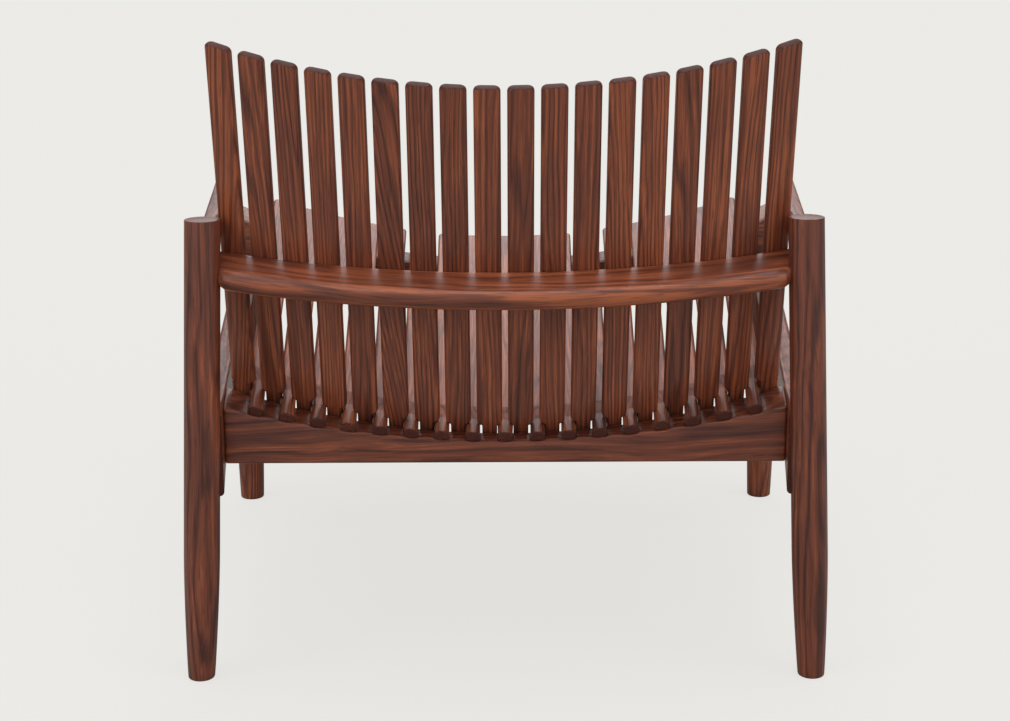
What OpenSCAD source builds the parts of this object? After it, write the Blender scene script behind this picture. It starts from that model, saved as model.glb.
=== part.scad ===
/* [Legs] */
// Height of the rear legs and of the arms' top faces
leg_h = 530; // [480:1:600]
// Diameter of a leg at its top
leg_d = 38.5; // [34:0.5:44]
// Diameter of a leg where it is widest
leg_belly_d = 40.5; // [36:0.5:48]
// Height above the floor where a leg is widest
leg_belly_z = 150; // [110:1:200]
// Diameter of a rear leg at the floor
foot_d = 30.5; // [26:0.5:34]
// Diameter of a front leg at the floor
front_foot_d = 33; // [26:0.5:36]
// Radius of the rounded edge under a foot
foot_round = 2.5; // [1:0.5:4]
// Distance from an end slat's outer side to the rear leg's centre at the top
leg_clear = 11.375; // [8:0.125:36]
// Outward lean of the rear legs towards the floor, in degrees
rear_splay = 2.6; // [0:0.1:4]
// Distance from a side rail's centre line out to the front leg's centre
front_leg_out = 2.6; // [0:0.1:5]
// Distance from the rear legs' centres to the front legs' centres
leg_span = 658; // [600:1:700]

/* [Arms] */
// Width of an arm at the rear leg
arm_rear_w = 12.5; // [11:0.5:13.5]
// Width of an arm halfway along
arm_mid_w = 25; // [20:0.5:27]
// Width of an arm at its front end
arm_front_w = 20; // [18:0.5:22]
// Depth of an arm, top to bottom
arm_t = 26; // [20:1:34]
// Distance that an arm reaches forward of the rear legs' centres
arm_reach = 468; // [420:1:500]
// Radius of the corners at an arm's front end
arm_nose_r = 8; // [4:0.5:9]
// Outward slope of an arm towards the front
arm_flare = 0.105; // [0.08:0.005:0.13]
// Diameter of an arm post
post_d = 19; // [16:0.5:20]
// Distance of an arm post's centre behind the arm's front end
post_back = 36; // [26:1:60]

/* [Seat frame] */
// Thickness of a side rail
side_rail_w = 22; // [18:0.5:26]
// Depth of a side rail, top to bottom
side_rail_h = 54; // [44:1:64]
// Depth of a side rail at the rear leg
side_haunch_h = 96; // [80:1:110]
// Length of the haunch
side_haunch_l = 170; // [120:1:220]
// Height of a side rail's top at the rear legs
side_rail_z = 313; // [300:1:330]
// Rise of a side rail per millimetre towards the front
side_rise = 0.078; // [0.06:0.002:0.09]
// Distance between a side rail's centre and the rear leg's centre at the floor, towards the middle
side_inset = 24; // [20:0.5:28]
// Outward slope of a side rail towards the front
side_flare = 0.078; // [0.06:0.002:0.09]

/* [Seat rails] */
// Distance from the rear legs' centres forward to the rear rail's back face
rear_rail_y = 28; // [24:1:40]
// Height of the rear rail's underside
rear_rail_z = 246; // [235:1:255]
// Height of the rear rail's top edge at the middle
seat_rear_z = 271; // [262:1:280]
// Radius of the rear rail's hollow top
seat_rear_r = 1300; // [1100:10:1600]
// Height of the front rail's top at the middle
seat_front_z = 354; // [340:1:370]
// Radius of the front rail's hollow top
seat_front_r = 1040; // [950:10:1200]
// Depth of the front rail at the middle, top to bottom
front_rail_h = 38; // [32:1:44]
// Radius of the front rail's underside
front_rail_under_r = 1440; // [1400:10:1700]
// Front to back width of the front rail at the middle
front_rail_w = 40; // [34:1:48]
// Radius of the front rail's front face
front_rail_bow_r = 3200; // [2600:50:4000]
// Length of the front rail past the front legs' centres
front_rail_over = 19; // [16:0.5:24]
// Radius of the rounded corners at the front rail's ends
front_rail_round = 6; // [3:0.5:8]

/* [Back] */
// Recline of the back from upright, in degrees
back_recline = 18; // [14:0.5:22]
// Radius of the hollow back
back_r = 1000; // [900:10:1200]
// Distance of the back's rear surface behind the rear legs' centres at the back rail
back_y = 13.5; // [8:0.5:18]
// Height of the back rail's top face at the middle
back_rail_z = 474; // [455:1:490]
// Front to back width of the back rail
back_rail_w = 50; // [44:1:56]
// Thickness of the back rail
back_rail_t = 24; // [20:0.5:28]

/* [Back slats] */
// Width of a back slat
back_slat_w = 28; // [25:0.5:29]
// Thickness of a back slat
back_slat_t = 12; // [11:0.5:16]
// Distance between the middles of two back slats
slat_pitch = 35.25; // [34:0.05:35.3]
// Length of a back slat above the back rail
back_slat_up = 210; // [180:1:240]
// Length of a back slat below the back rail
back_slat_down = 238; // [230:1:245]
// Distance from the back rail's top down to the start of a slat's neck
neck_down = 199.5; // [195:0.5:202]
// Width of a slat's neck
neck_w = 15.5; // [13:0.5:16]
// Radius of a slat's shoulders
shoulder_r = 4; // [2:0.5:6]
// Radius of a back slat's long edges
slat_round = 4.5; // [2:0.5:5]
// Radius of the line that the slats' tops follow
top_line_r = 1550; // [1300:10:2000]
// Spread of the back slats towards the seat, in degrees per metre off the middle
back_fan = 3; // [0:0.1:4]

/* [Seat slats] */
// Width of a seat slat at its front end
seat_slat_front_w = 33.5; // [30:0.5:35]
// Width of a seat slat behind the back slats
seat_slat_rear_w = 27; // [24:0.5:29]
// Thickness of a seat slat
seat_slat_t = 16; // [14:0.5:18]
// Distance between the middles of two seat slats over the front legs
seat_front_pitch = 40.4; // [38:0.1:42]
// Distance from the rear legs' centres to the seat slats' front ends
seat_tip = 745; // [715:1:765]
// Radius of a seat slat's front corners
tip_round = 8; // [4:0.5:12]
// Width of a seat slat's finger at its end
finger_w = 16.5; // [14:0.5:18]
// Width of a seat slat's finger between the necks
finger_neck_w = 14; // [12:0.5:14.5]
// Radius of a finger's long edges
finger_round = 4; // [2:0.5:4.5]
// How much closer the fingers' ends lie than the gaps between the necks
finger_draw = 0.6; // [0.5:0.05:0.7]
// Thickness of a seat slat's finger
finger_t = 10; // [8:0.5:11]
// Length over which a seat slat narrows to its finger
finger_blend = 26; // [20:1:32]
// Distance from the rear rail's back face to the finger's end
finger_set = 1; // [0:0.5:3]
// Room between a back slat's front face and the seat slat's shoulder
shoulder_gap = 3; // [2:0.5:6]

/* [Joinery] */
// Diameter of the dowels that hold the slats
dowel_d = 5; // [4:0.5:6]
// Room round a dowel or tenon in its hole
fit_gap = 0.1; // [0.05:0.05:0.2]
// Depth of a dowel in each of its two pieces
dowel_grip = 8; // [6:0.5:9]
// Length of the tenons in the legs
tenon_l = 14; // [10:0.5:16]
// Depth that the seat slats are let into the front rail
housing = 1.5; // [1:0.1:2]
// Length of the round tenons on posts and front legs
peg_l = 16; // [12:1:20]
// Diameter of those tenons
peg_d = 11; // [9:0.5:12]

/* [Hidden] */
$fn = 64;
seat_n = 17;
back_n = 18;
walnut = "#6b3f2e";
walnut_light = "#7c4b36";
walnut_dark = "#5a3325";
beech = "#c9a67a";
big = 1000;
// Facets round the widest curves
wide_fn = 720;

// Leans, slopes and places that follow from the sizes above
belly_power = 1.6;
rear_leg_x = (back_n - 1) / 2 * slat_pitch + back_slat_w / 2 + leg_clear;
foot_x = rear_leg_x + leg_h * tan(rear_splay);
side_x = foot_x - side_inset;
front_leg_x = side_x + leg_span * side_flare + front_leg_out;
seat_slope = atan((seat_front_z - seat_rear_z) / (leg_span - rear_rail_y));
spread = 1 + neck_down * back_fan * PI / 180000;
seat_rear_pitch = slat_pitch * spread - finger_draw;
back_tip_y = back_y + back_slat_up * sin(back_recline);
seat_reach = seat_tip + (seat_slat_front_w / 2 - tip_round) * sin(seat_yaw(1));
frame_y = (seat_reach - back_tip_y) / 2;
leg_tenon_w = 9;
back_tenon_w = 26;
back_tenon_t = 12;
rail_tenon_w = 12;
rail_tenon_h = 28;
rail_tenon_z = 8;
neck_foot = 14;
arm_cheek = 5;
finger_skin = 3;
finger_root = 2;

BACK_SLATS = [for (k = [1:back_n]) str("back_slat_", k < 10 ? "0" : "", k)];
SEAT_SLATS = [for (k = [1:seat_n]) str("seat_slat_", k < 10 ? "0" : "", k)];

// Height gained by a hollow curve of radius r at a distance x from its middle
function hollow(r, x) = r - sqrt(r * r - x * x);

// Middles of the slats, counted from the sitter's left
function back_x(k) = (back_n / 2 + 0.5 - k) * slat_pitch;
function seat_rear_x(k) = (seat_n / 2 + 0.5 - k) * seat_rear_pitch;
function seat_front_x(k) = (seat_n / 2 + 0.5 - k) * seat_front_pitch;

// A leg's radius at height z, with its diameter at the floor
function leg_r(z, foot) = z < leg_belly_z
    ? leg_belly_d / 2 - (leg_belly_d - foot) / 2 * pow(1 - z / leg_belly_z, belly_power)
    : leg_belly_d / 2 - (leg_belly_d - leg_d) / 2 * (z - leg_belly_z) / (leg_h - leg_belly_z);

// Place of the rear leg's centre line at height z
function rear_axis_x(z) = foot_x - z * tan(rear_splay);

// Distance forward of the rear legs' centres to the back slats' front faces, at x and height z
function back_front(x, z) = let (
    lift = -hollow(back_r, x) - back_slat_t / cos(asin(x / back_r)),
    s = (z - back_rail_z + lift * sin(back_recline)) / cos(back_recline)
) -(back_y + lift * cos(back_recline) + s * sin(back_recline));

// Points of an arc that rounds the corner b between a and c
function unit(v) = v / norm(v);
function corner(a, b, c, r, n) = r == 0 ? [b] : let (
    u = unit(a - b), v = unit(c - b),
    half = acos(u * v) / 2,
    mid = b + unit(u + v) * r / sin(half),
    p = b + u * r / tan(half) - mid,
    q = b + v * r / tan(half) - mid,
    turn = sign(cross(p, q)) * (180 - 2 * half),
    start = atan2(p.y, p.x)
) [for (j = [0:n]) mid + r * [cos(start + turn * j / n), sin(start + turn * j / n)]];

// Outline with each corner rounded by its third number
function soften(pts, n = 6) = let (m = len(pts)) [
    for (i = [0:m - 1])
        let (a = pts[(i + m - 1) % m], b = pts[i], c = pts[(i + 1) % m])
            each corner([a.x, a.y], [b.x, b.y], [c.x, c.y], b.z, n)
];

// Both sides of the chair from the left one
module side(name) {
    if (name == "left") children();
    else mirror([1, 0, 0]) children();
}

// The back's own frame: x across, y out of its rear surface, z up along the slats from the back rail's top
module on_back() {
    translate([0, back_y, back_rail_z]) rotate([-back_recline, 0, 0]) children();
}

// The frame of back slat k: its rear face at y = 0, with its edges on the rails' hollow faces
module on_back_slat(k) {
    turn = asin(back_x(k) / back_r);
    on_back() translate([0, -back_r, 0]) rotate([0, 0, -turn])
        translate([0, back_r - hollow(back_r, back_slat_w / 2), 0])
            rotate([0, -back_fan * back_x(k) / 1000, 0]) children();
}

// The frame of seat slat k: its underside at z = 0, y = 0 over the rear rail's back face
module on_seat_slat(k) {
    start = [seat_rear_x(k), -rear_rail_y, seat_rear_z + hollow(seat_rear_r, seat_rear_x(k))];
    translate(start) rotate([0, 0, seat_yaw(k)]) rotate([-seat_pitch(k), 0, 0])
        rotate([0, -seat_bank(k), 0]) children();
}
function seat_run(k) = [seat_front_x(k) - seat_rear_x(k), leg_span - rear_rail_y];
function seat_yaw(k) = atan2(seat_run(k).x, seat_run(k).y);
function seat_pitch(k) = atan2(seat_front_z + hollow(seat_front_r, seat_front_x(k)) - housing
    - seat_rear_z - hollow(seat_rear_r, seat_rear_x(k)), norm(seat_run(k)));
function seat_bank(k) = (asin(seat_rear_x(k) / seat_rear_r) + asin(seat_front_x(k) / seat_front_r)) / 2;
// Length along seat slat k of a distance forward of the rear rail's back face
function along(k, reach) = reach / cos(seat_yaw(k)) / cos(seat_pitch(k));

// Turned leg, standing on z = 0, longer than it is used
module leg_blank(top, foot) {
    step = leg_belly_z / 12;
    start = -1;
    flat = leg_r(0, foot) - foot_round;
    outline = concat(
        [[0, start], [flat, start]],
        [for (a = [-60:30:0]) [flat + foot_round * cos(a), start + foot_round + foot_round * sin(a)]],
        [for (z = [step:step:leg_belly_z]) [leg_r(z, foot), z]],
        [[leg_r(top, foot), top], [0, top]]);
    rotate_extrude() polygon(outline);
}

// Rear leg without its mortises, on the left side
module rear_leg_blank() {
    intersection() {
        translate([foot_x, 0, 0]) rotate([0, -rear_splay, 0]) leg_blank(leg_h + 5, foot_d);
        translate([-big / 2, -big / 2, 0]) cube([big, big, leg_h]);
    }
}

// Front leg up to the front rail's underside, on the left side
module front_leg_blank() {
    difference() {
        intersection() {
            translate([front_leg_x, -leg_span, 0]) leg_blank(leg_h, front_foot_d);
            translate([-big, -big, 0]) cube([2 * big, 2 * big, leg_h]);
        }
        above_front_underside();
    }
}

// Everything over the front rail's hollow underside
module above_front_underside() {
    translate([0, 0, seat_front_z - front_rail_h + front_rail_under_r])
        rotate([90, 0, 0]) cylinder(h = 2 * big, r = front_rail_under_r, center = true, $fn = wide_fn);
}

// Everything over a hollow seat line: radius r, lowest at height z, at a distance y forward
module above_seat(r, y, z) {
    translate([0, -y, z]) rotate([-seat_slope, 0, 0]) translate([0, 0, r])
        rotate([90, 0, 0]) cylinder(h = big, r = r, center = true, $fn = wide_fn);
}

// Side rail on the left side, from leg centre to leg centre; for a tenon, thin is the mean taken off its two faces,
// more of it inside than outside
module side_rail_bar(thin = 0, grow = 0) {
    length = leg_span / cos(atan(side_flare));
    shrink = thin > 0 ? side_rail_h / 5 : 0;
    under = side_haunch_h - side_rail_h;
    haunch = [for (t = [0:0.125:1]) [-side_haunch_l * t, side_haunch_l * t * side_rise
        - side_rail_h - under * pow(1 - t, 2) + shrink]];
    outline = concat(
        [[0, -shrink]], haunch,
        [[-length, length * side_rise - side_rail_h + shrink], [-length, length * side_rise - shrink]]);
    translate([side_x, 0, side_rail_z]) rotate([0, 0, atan(side_flare)])
        translate([-side_rail_w / 2 + 1.5 * thin - grow, 0, 0]) rotate([90, 0, 90])
            linear_extrude(side_rail_w - 2 * thin + 2 * grow) polygon(outline);
}
side_tenon_thin = (side_rail_w - leg_tenon_w) / 2;

// Tenon of the rear rail in the left side rail
module rear_rail_tenon(grow = 0) {
    y = rear_rail_y + 10 + rail_tenon_w / 2;
    inner = side_x - side_rail_w / 2 / cos(atan(side_flare)) + y * side_flare;
    translate([inner - 2 * tenon_l, -y - rail_tenon_w / 2 - grow, rear_rail_z + rail_tenon_z - grow])
        cube([2 * tenon_l + side_rail_w / 2 + grow, rail_tenon_w + 2 * grow, rail_tenon_h + 2 * grow]);
}

// Everything outside the left side rail's inner face
module outside_side_rail() {
    translate([side_x, 0, 0]) rotate([0, 0, atan(side_flare)])
        translate([-side_rail_w / 2, -big, 0]) cube([big, 2 * big, big]);
}

// Arm on the left side, seen from above: the outer edge is straight and the inner one swells
function arm_width(t) = arm_rear_w * (1 - t) * (1 - 2 * t) + arm_mid_w * 4 * t * (1 - t)
    + arm_front_w * t * (2 * t - 1);
function arm_edge(y) = rear_leg_x + arm_flare * y;
module arm_bar() {
    inner = [for (t = [0:0.1:0.91]) [arm_edge(arm_reach * t) - arm_width(t), -arm_reach * t, 0]];
    outline = concat([[arm_edge(0), 0, 0]], inner, [
        [arm_edge(arm_reach) - arm_width(1), -arm_reach, arm_nose_r],
        [arm_edge(arm_reach), -arm_reach, arm_nose_r]]);
    translate([0, 0, leg_h - arm_t]) linear_extrude(arm_t) polygon(soften(outline));
}

// Tenon of the left arm in the rear leg
module arm_tenon(grow = 0) {
    depth = tenon_l / 3;
    translate([arm_edge(0) - arm_rear_w / 2 - leg_tenon_w / 2 - grow, -2 * tenon_l,
        leg_h - arm_t + arm_cheek - grow])
        cube([leg_tenon_w + 2 * grow, 2 * tenon_l + depth + grow, arm_t - 2 * arm_cheek + 2 * grow]);
}

// Tenon of the back rail in the left rear leg
module back_rail_tenon(grow = 0) {
    x = rear_axis_x(back_rail_z);
    turn = asin(x / back_r);
    on_back() translate([x, back_rail_w / 2 - hollow(back_r, x), -back_rail_t / 2])
        rotate([0, 0, -turn])
            translate([-2 * tenon_l, -back_tenon_w / 2 - grow, -back_tenon_t / 2 - grow])
                cube([2 * tenon_l + grow, back_tenon_w + 2 * grow, back_tenon_t + 2 * grow]);
}

// Places of the arm post and of its pegs
post_y = arm_reach - post_back;
post_x = arm_edge(post_y) - arm_width(post_y / arm_reach) / 2;
post_foot_z = side_rail_z + post_y * side_rise;
module post_pegs(grow = 0) {
    translate([post_x, -post_y, post_foot_z - peg_l])
        cylinder(h = leg_h - arm_t - post_foot_z + 2 * peg_l + grow, d = peg_d + 2 * grow);
}

// Peg of the left front leg in the front rail
module front_leg_peg(grow = 0) {
    z = seat_front_z - front_rail_h + hollow(front_rail_under_r, front_leg_x);
    translate([front_leg_x, -leg_span, z - peg_l]) cylinder(h = 2 * peg_l + grow, d = peg_d + 2 * grow);
}

// Dowels, each half in one piece and half in the other
module back_rail_dowel(k, grow = 0) {
    on_back_slat(k) translate([0, 0, -back_rail_t / 2]) rotate([90, 0, 0])
        cylinder(h = 2 * (dowel_grip + grow), d = dowel_d + 2 * grow, center = true);
}
module neck_dowel(k, grow = 0) {
    on_back_slat(k) translate([0, 0, hollow(top_line_r, back_x(k)) - back_slat_down + neck_foot])
        rotate([90, 0, 0]) cylinder(h = 2 * (dowel_grip + grow), d = dowel_d + 2 * grow, center = true);
}
module finger_dowel(k, grow = 0) {
    grip = finger_t - finger_skin;
    on_seat_slat(k) translate([0, -rail_tenon_w, -dowel_grip - grow])
        cylinder(h = dowel_grip + grip + 2 * grow, d = dowel_d + 2 * grow);
}
module front_rail_dowel(k, grow = 0) {
    on_seat_slat(k) translate([0, -along(k, leg_span - rear_rail_y), -dowel_grip - grow])
        cylinder(h = 2 * (dowel_grip + grow), d = dowel_d + 2 * grow);
}

// Back slat k: an upright bar with a narrow neck, its top cut along the top line
module back_slat(k) {
    rise = hollow(top_line_r, back_x(k));
    slope = tan(asin(back_x(k) / top_line_r));
    half = back_slat_w / 2;
    neck = neck_w / 2;
    outline = soften([
        [neck, rise - back_slat_down, 2], [neck, rise - neck_down, 0],
        [half, rise - neck_down, shoulder_r],
        [half, back_slat_up + rise + half * slope, slat_round],
        [-half, back_slat_up + rise - half * slope, slat_round],
        [-half, rise - neck_down, shoulder_r],
        [-neck, rise - neck_down, 0], [-neck, rise - back_slat_down, 2]]);
    color(walnut_light) difference() {
        on_back_slat(k) intersection() {
            rotate([90, 0, 0]) linear_extrude(back_slat_t) polygon(outline);
            translate([0, -back_slat_t / 2, -big / 2]) rounded_bar(back_slat_w, back_slat_t, big, slat_round);
        }
        back_rail_dowel(k, fit_gap);
        neck_dowel(k, fit_gap);
    }
}

// Bar along z with rounded long edges, centred on the z axis
module rounded_bar(w, t, h, r) {
    translate([-w / 2 + r, -t / 2, 0]) cube([w - 2 * r, t, h]);
    translate([-w / 2, -t / 2 + r, 0]) cube([w, t - 2 * r, h]);
    for (x = [-1, 1], y = [-1, 1])
        translate([x * (w / 2 - r), y * (t / 2 - r), 0]) cylinder(h = h, r = r, $fn = 32);
}

// Distance of seat slat k's shoulder forward of the rear rail's back face, along the slat
function seat_neck(k) = let (
    x = abs(seat_rear_x(k)) + seat_slat_rear_w / 2,
    z = seat_rear_z + hollow(seat_rear_r, seat_rear_x(k)) + finger_t
) along(k, back_front(x, z) - rear_rail_y + shoulder_gap);

// Finger of seat slat k, between two back slats
module finger(k) {
    reach = seat_neck(k) - finger_set + finger_root;
    slice = finger_t / 100;
    on_seat_slat(k) translate([0, -finger_set, finger_t / 2]) rotate([90, 0, 0]) hull() {
        rounded_bar(finger_w, finger_t, slice, finger_round);
        translate([0, 0, reach - slice]) rounded_bar(finger_neck_w, finger_t, slice, finger_round);
    }
}

// Seat slat k without its dowel holes: it widens towards the front
module seat_slat_blank(k) {
    neck = seat_neck(k);
    body = neck + finger_blend;
    tip = along(k, seat_tip - rear_rail_y);
    rear = seat_slat_rear_w / 2;
    front = seat_slat_front_w / 2;
    thin = finger_neck_w / 2;
    plan = soften([
        [thin, -neck, 0], [rear, -body, shoulder_r], [front, -tip, tip_round],
        [-front, -tip, tip_round], [-rear, -body, shoulder_r], [-thin, -neck, 0]]);
    profile = [[-neck, 0], [-neck, finger_t], [-body, seat_slat_t], [-tip, seat_slat_t], [-tip, 0]];
    on_seat_slat(k) intersection() {
        linear_extrude(seat_slat_t) polygon(plan);
        rotate([90, 0, 90]) translate([0, 0, -front]) linear_extrude(2 * front) polygon(profile);
    }
    finger(k);
}

module seat_slat(k) {
    color(walnut) difference() {
        seat_slat_blank(k);
        finger_dowel(k, fit_gap);
        front_rail_dowel(k, fit_gap);
    }
}

module rear_leg(name) {
    color(walnut) side(name) difference() {
        rear_leg_blank();
        side_rail_bar(side_tenon_thin, fit_gap);
        arm_tenon(fit_gap);
        back_rail_tenon(fit_gap);
    }
}

module front_leg(name) {
    color(walnut) side(name) difference() {
        union() {
            front_leg_blank();
            front_leg_peg();
        }
        side_rail_bar(side_tenon_thin, fit_gap);
    }
}

module arm(name) {
    color(walnut_light) side(name) difference() {
        union() {
            difference() {
                arm_bar();
                rear_leg_blank();
            }
            arm_tenon();
        }
        post_pegs(fit_gap);
    }
}

module arm_post(name) {
    color(walnut) side(name) union() {
        difference() {
            translate([post_x, -post_y, post_foot_z - 5])
                cylinder(h = leg_h - arm_t - post_foot_z + 5, d = post_d);
            side_rail_bar();
        }
        post_pegs();
    }
}

module side_rail(name) {
    color(walnut_light) side(name) difference() {
        union() {
            difference() {
                side_rail_bar();
                rear_leg_blank();
                front_leg_blank();
                front_rail_blank();
            }
            intersection() {
                side_rail_bar(side_tenon_thin);
                union() {
                    rear_leg_blank();
                    front_leg_blank();
                }
            }
        }
        rear_rail_tenon(fit_gap);
        post_pegs(fit_gap);
    }
}

// Front rail without its housings
module front_rail_blank() {
    reach = front_leg_x + front_rail_over;
    back = leg_span - front_rail_w / 2;
    bow = [for (t = [-1:0.125:1]) [reach * t, -back - front_rail_w - hollow(front_rail_bow_r, reach * t),
        abs(t) == 1 ? front_rail_round : 0]];
    plan = soften(concat(bow, [[reach, -back, front_rail_round], [-reach, -back, front_rail_round]]));
    difference() {
        intersection() {
            linear_extrude(leg_h) polygon(plan);
            above_front_underside();
        }
        above_seat(seat_front_r, leg_span, seat_front_z);
    }
}

module front_rail() {
    color(walnut_dark) difference() {
        front_rail_blank();
        for (k = [1:seat_n]) {
            seat_slat_blank(k);
            front_rail_dowel(k, fit_gap);
        }
        for (name = ["left", "right"]) side(name) front_leg_peg(fit_gap);
    }
}

module rear_rail() {
    depth = 5 * front_rail_w;
    color(walnut) difference() {
        union() {
            difference() {
                translate([-big / 2, -rear_rail_y - depth, rear_rail_z]) cube([big, depth, 3 * front_rail_w]);
                on_back() translate([0, -back_r, -big / 2]) cylinder(h = big, r = back_r, $fn = wide_fn);
                above_seat(seat_rear_r, rear_rail_y, seat_rear_z);
                for (name = ["left", "right"]) side(name) outside_side_rail();
            }
            for (name = ["left", "right"]) side(name) rear_rail_tenon();
        }
        for (k = [1:seat_n]) {
            finger(k);
            finger_dowel(k, fit_gap);
        }
        for (k = [1:back_n]) neck_dowel(k, fit_gap);
    }
}

module back_rail() {
    reach = rear_axis_x(back_rail_z) - leg_d / 3;
    span = asin(rear_axis_x(back_rail_z) / back_r);
    bull = back_rail_t / 2;
    color(walnut) difference() {
        union() {
            difference() {
                intersection() {
                    on_back() translate([0, -back_r, -back_rail_t]) rotate([0, 0, 90 - span])
                        rotate_extrude(angle = 2 * span, $fn = wide_fn) {
                            translate([back_r, 0]) square([back_rail_w - bull, back_rail_t]);
                            translate([back_r + back_rail_w - bull, bull]) circle(r = bull, $fn = 64);
                        }
                    translate([-reach, -big / 2, 0]) cube([2 * reach, big, big]);
                }
                for (name = ["left", "right"]) side(name) rear_leg_blank();
            }
            for (name = ["left", "right"]) side(name) back_rail_tenon();
        }
        for (k = [1:back_n]) back_rail_dowel(k, fit_gap);
    }
}

module back_rail_dowels() { color(beech) for (k = [1:back_n]) back_rail_dowel(k); }
module neck_dowels() { color(beech) for (k = [1:back_n]) neck_dowel(k); }
module finger_dowels() { color(beech) for (k = [1:seat_n]) finger_dowel(k); }
module front_rail_dowels() { color(beech) for (k = [1:seat_n]) front_rail_dowel(k); }

// The chair's frame has its origin on the floor, under the middle of its box
module place() { translate([0, frame_y, 0]) children(); }

place() {
    for (name = ["left", "right"]) {
        rear_leg(name);
        front_leg(name);
        arm(name);
        arm_post(name);
        side_rail(name);
    }
    rear_rail();
    front_rail();
    back_rail();
    back_rail_dowels();
    neck_dowels();
    finger_dowels();
    front_rail_dowels();
    for (k = [1:back_n])
        back_slat(k);
    for (k = [1:seat_n])
        seat_slat(k);
}
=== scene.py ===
"""Models the walnut pieces of a slatted lounge chair and the pale studio that it stands in."""
import math
import random

import bmesh
import bpy
from mathutils import Matrix, Vector


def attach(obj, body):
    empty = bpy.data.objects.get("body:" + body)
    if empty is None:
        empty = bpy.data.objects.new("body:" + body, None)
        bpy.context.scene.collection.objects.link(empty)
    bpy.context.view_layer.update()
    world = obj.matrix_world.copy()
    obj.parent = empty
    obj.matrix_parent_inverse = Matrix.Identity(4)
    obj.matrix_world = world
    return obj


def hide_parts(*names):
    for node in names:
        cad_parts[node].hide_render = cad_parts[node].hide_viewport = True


bl_info = {
    "name": "Slatted lounge chair",
    "version": (1, 0, 0),
    "blender": (4, 5, 0),
    "location": "3D Viewport > Sidebar > Chair",
    "description": "Models the walnut pieces of a slatted lounge chair and the studio round it",
    "category": "Add Mesh",
}

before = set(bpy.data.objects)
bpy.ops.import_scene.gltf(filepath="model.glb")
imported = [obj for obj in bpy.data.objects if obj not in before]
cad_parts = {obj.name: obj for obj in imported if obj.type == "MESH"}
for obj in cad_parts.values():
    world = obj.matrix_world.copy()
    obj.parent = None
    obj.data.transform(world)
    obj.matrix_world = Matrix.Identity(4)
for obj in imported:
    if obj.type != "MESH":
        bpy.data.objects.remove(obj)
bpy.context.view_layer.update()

BODY = "root"
BACK_SLATS = 18
SEAT_SLATS = 17
BACK_MIDDLE = (BACK_SLATS + 1) / 2
SEAT_MIDDLE = (SEAT_SLATS + 1) / 2
SIDES = (("left", 1), ("right", -1))

# Each kind of piece: its first seed, its slot, how many times wider its grain is drawn, and how
# dark its boards are, where 1 is the darkest of the random ones and None leaves it to chance; the
# rear legs' fixed darkness is painted shade for the dimmer light on them, and the rear rail is set
# darker too
KINDS = {
    "rear_leg": (100, "frame_wood", 1.7, 1.4),
    "front_leg": (110, "frame_wood", 1, None),
    "arm": (120, "frame_wood", 1, None),
    "arm_post": (130, "frame_wood", 1, None),
    "side_rail": (140, "frame_wood", 1, None),
    "rear_rail": (150, "frame_wood", 2, 1),
    "front_rail": (151, "frame_wood", 1, None),
    "back_rail": (160, "frame_wood", 2, None),
    "back_slat": (200, "back_slat_wood", 1, None),
    "seat_slat": (300, "seat_slat_wood", 1, None),
}

# How finely each form is drawn
ROUND_SEGMENTS = 5
FULL_ROUND_SEGMENTS = 8
LEG_SEGMENTS = 56
POST_SEGMENTS = 32
LEG_ROWS = 10
POST_ROWS = 8
ARM_ROWS = 19
HAUNCH_ROWS = 12
FRONT_RAIL_CUTS = 47
REAR_RAIL_CUTS = 179
BACK_RAIL_STEPS = 64
EASE_STEPS = 4
CORNER_STEPS = 6
TIP_STEPS = 8
BLEND_STEPS = (0, 0.08, 0.25, 0.5, 0.75, 0.92, 1)
SMOOTH_ANGLE = math.radians(35)
SHARP_ANGLE = math.radians(40)

# How full a leg's belly is
BELLY_POWER = 1.6
# How far a piece's end goes into a leg or a rail, beside a leg's thickness
LET_IN = 0.25
# How far a post goes into an arm and a side rail, beside the arm's depth
POST_LET_IN = 0.125
# Just under half a thickness, which rounds an edge fully
FULL_ROUND = 0.499
# How much of a tip's easing the radius of its long edges gives up
ARM_TIP_SHARE = 0.8
SEAT_TIP_SHARE = 0.9
# How round a neck's and a shoulder's long edges are, beside slat_ease and slat_round
NECK_ROUND = 1.5
SHOULDER_ROUND = 0.6
# Fingers on each side of the middle one that stand clear of the leaning necks
CLEAR_FINGERS = 5
# How often the rear rail's front edge is moved onto the hollow back until it rests there
EDGE_ROUNDS = 4

# How a board lies in its log, in metres, and how askew it is sawn, in degrees
SEED_STEP = 31
PITH_SIDE = 0.03
PITH_DEPTH = (0.012, 0.05)
LOG_HALF = 4
SAW_LEAN = 0.9
SAW_PITCH = 0.6
WILD_ODDS = 0.2
WILD_FACTOR = 2

# Sizes of the walnut's figure in metres, across and along the grain; a band is as wide as three
# fibre streaks, and a streak is seventy times as long as it is wide
DRIFT_SIZE = (0.03, 0.3)
CLOUD_SIZE = (0.03, 0.15)
BAND_FIBRES = 3
BAND_LENGTH = 0.5
FIBRE_STRETCH = 70
PORE_WIDTH = 0.0009

# Half the floor's width and the end of the camera's view in metres, and its sensor in millimetres
FLOOR_HALF = 60
VIEW_END = 200
SENSOR = 36


def length(name, millimetres, description):
    """A length, written in millimetres and kept in metres."""
    return bpy.props.FloatProperty(
        name=name, description=description, default=millimetres / 1000, unit="LENGTH", precision=4)


def angle(name, degrees, description):
    """An angle, written in degrees and kept in radians."""
    return bpy.props.FloatProperty(
        name=name, description=description, default=math.radians(degrees), unit="ROTATION")


def ratio(name, value, description):
    """A number without a unit."""
    return bpy.props.FloatProperty(name=name, description=description, default=value, precision=4)


def colour(name, value, description):
    """A colour, written as sRGB hex."""
    return bpy.props.StringProperty(name=name, description=description, default=value)


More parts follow.
